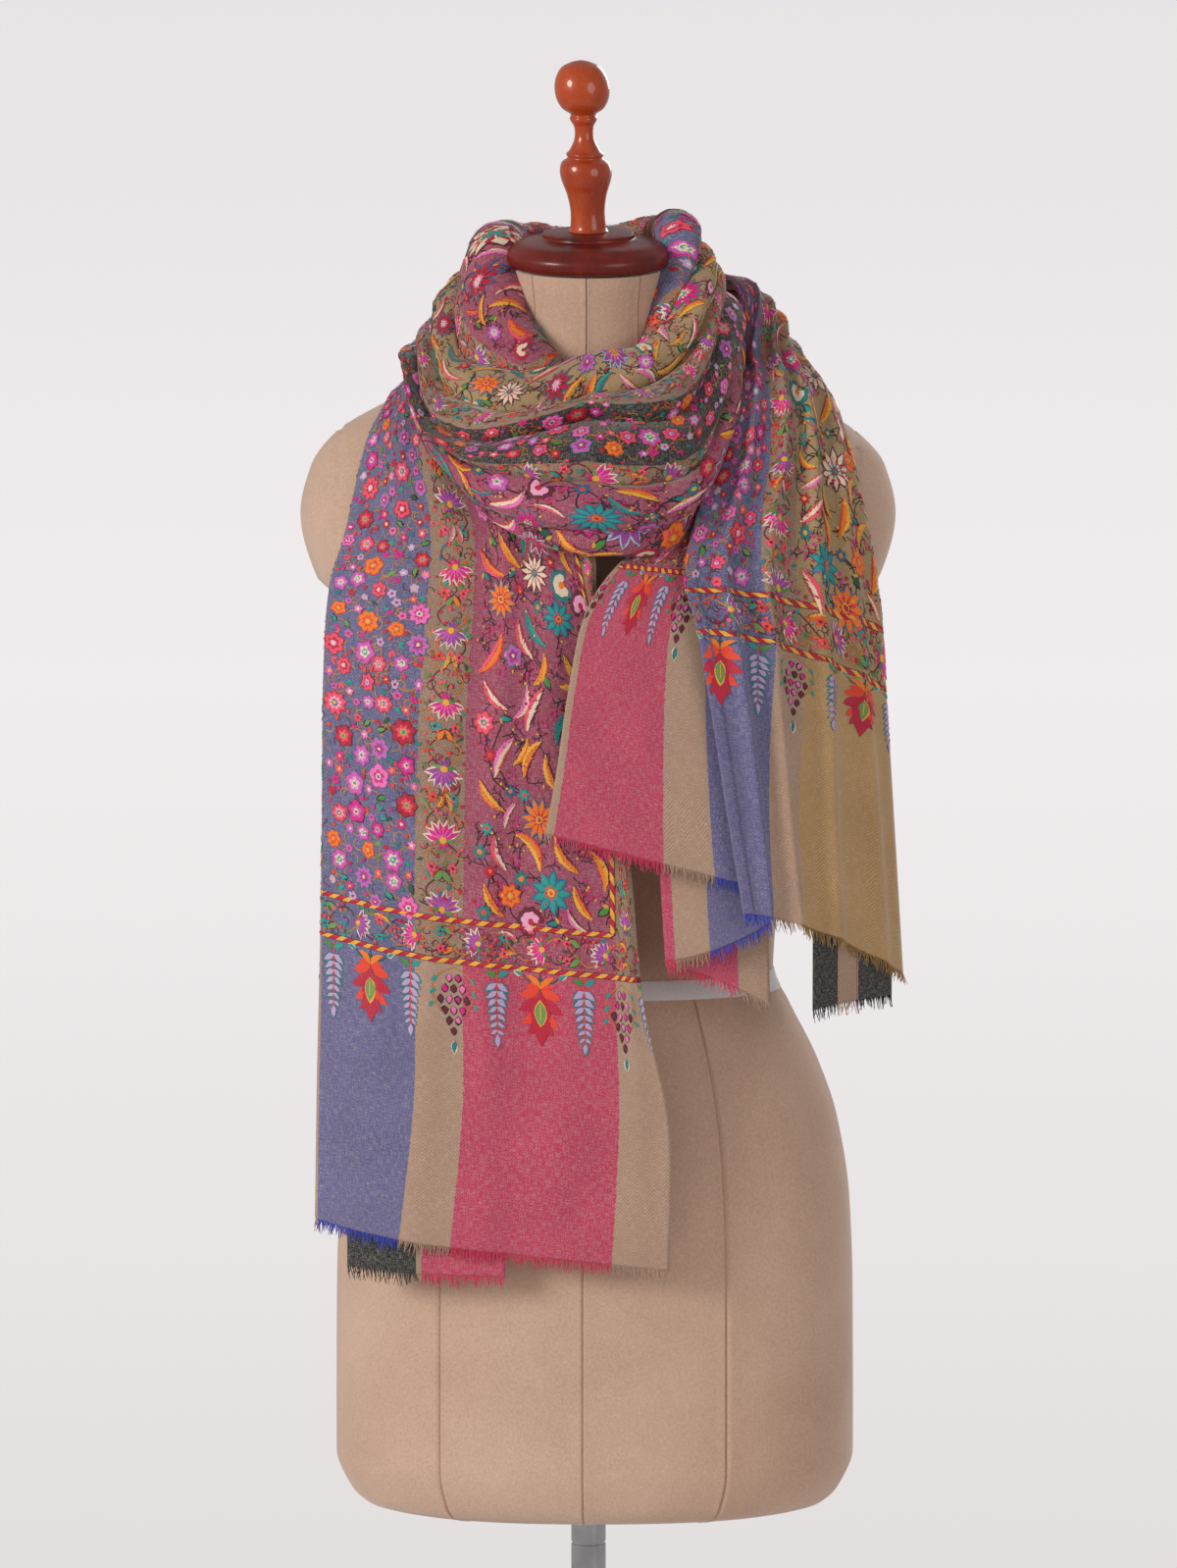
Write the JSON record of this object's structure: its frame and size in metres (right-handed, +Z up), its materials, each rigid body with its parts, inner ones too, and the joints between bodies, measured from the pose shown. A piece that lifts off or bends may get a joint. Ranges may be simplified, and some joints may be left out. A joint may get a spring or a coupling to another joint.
{
  "type": "pashmina shawl on a dress form",
  "caption": "Striped, embroidered pashmina shawl wound once round the neck of a limbless dress form, its fringed tails hanging in front; the form stands on a pole and round base.",
  "frame": {"origin": "centre of the base's underside, on the floor", "axes": "+Z up along the pole; -Y is the front of the form; +X is on the right of someone who looks at the front"},
  "size_m": [0.3863, 0.38, 1.6349],
  "materials": {
    "pashmina": "fine twill in beige, pink, blue, mustard and black stripes, dense coloured embroidery",
    "fringe": "short loose warp ends in the stripe's colour",
    "suede": "matt suede-like cover",
    "cotton_tape": "plain woven tape",
    "turned_wood": "glossy varnish, dark red-brown cap and lighter finial",
    "chrome": "polished"
  },
  "bodies": {
    "root": {"stand_base": "chrome", "stand_socket": "chrome", "stand_pole": "chrome", "form_torso": "suede", "form_arm_cap_left": "suede", "form_arm_cap_right": "suede", "form_waist_tape": "cotton_tape", "form_neck_cap": "turned_wood", "form_finial": "turned_wood", "shawl_neck_wrap": "pashmina", "shawl_left_tail": "pashmina", "shawl_left_lower_layer": "pashmina", "shawl_right_ridge_panel": "pashmina", "shawl_right_under_panel": "pashmina", "shawl_right_lower_front": "pashmina", "shawl_right_lower_back": "pashmina", "shawl_right_lower_outer": "pashmina", "fringe_left_tail": "fringe", "fringe_left_lower_layer": "fringe", "fringe_right_ridge_panel": "fringe", "fringe_right_under_panel": "fringe", "fringe_right_lower_front": "fringe", "fringe_right_lower_back": "fringe", "fringe_right_lower_outer": "fringe"}
  },
  "joints": []
}
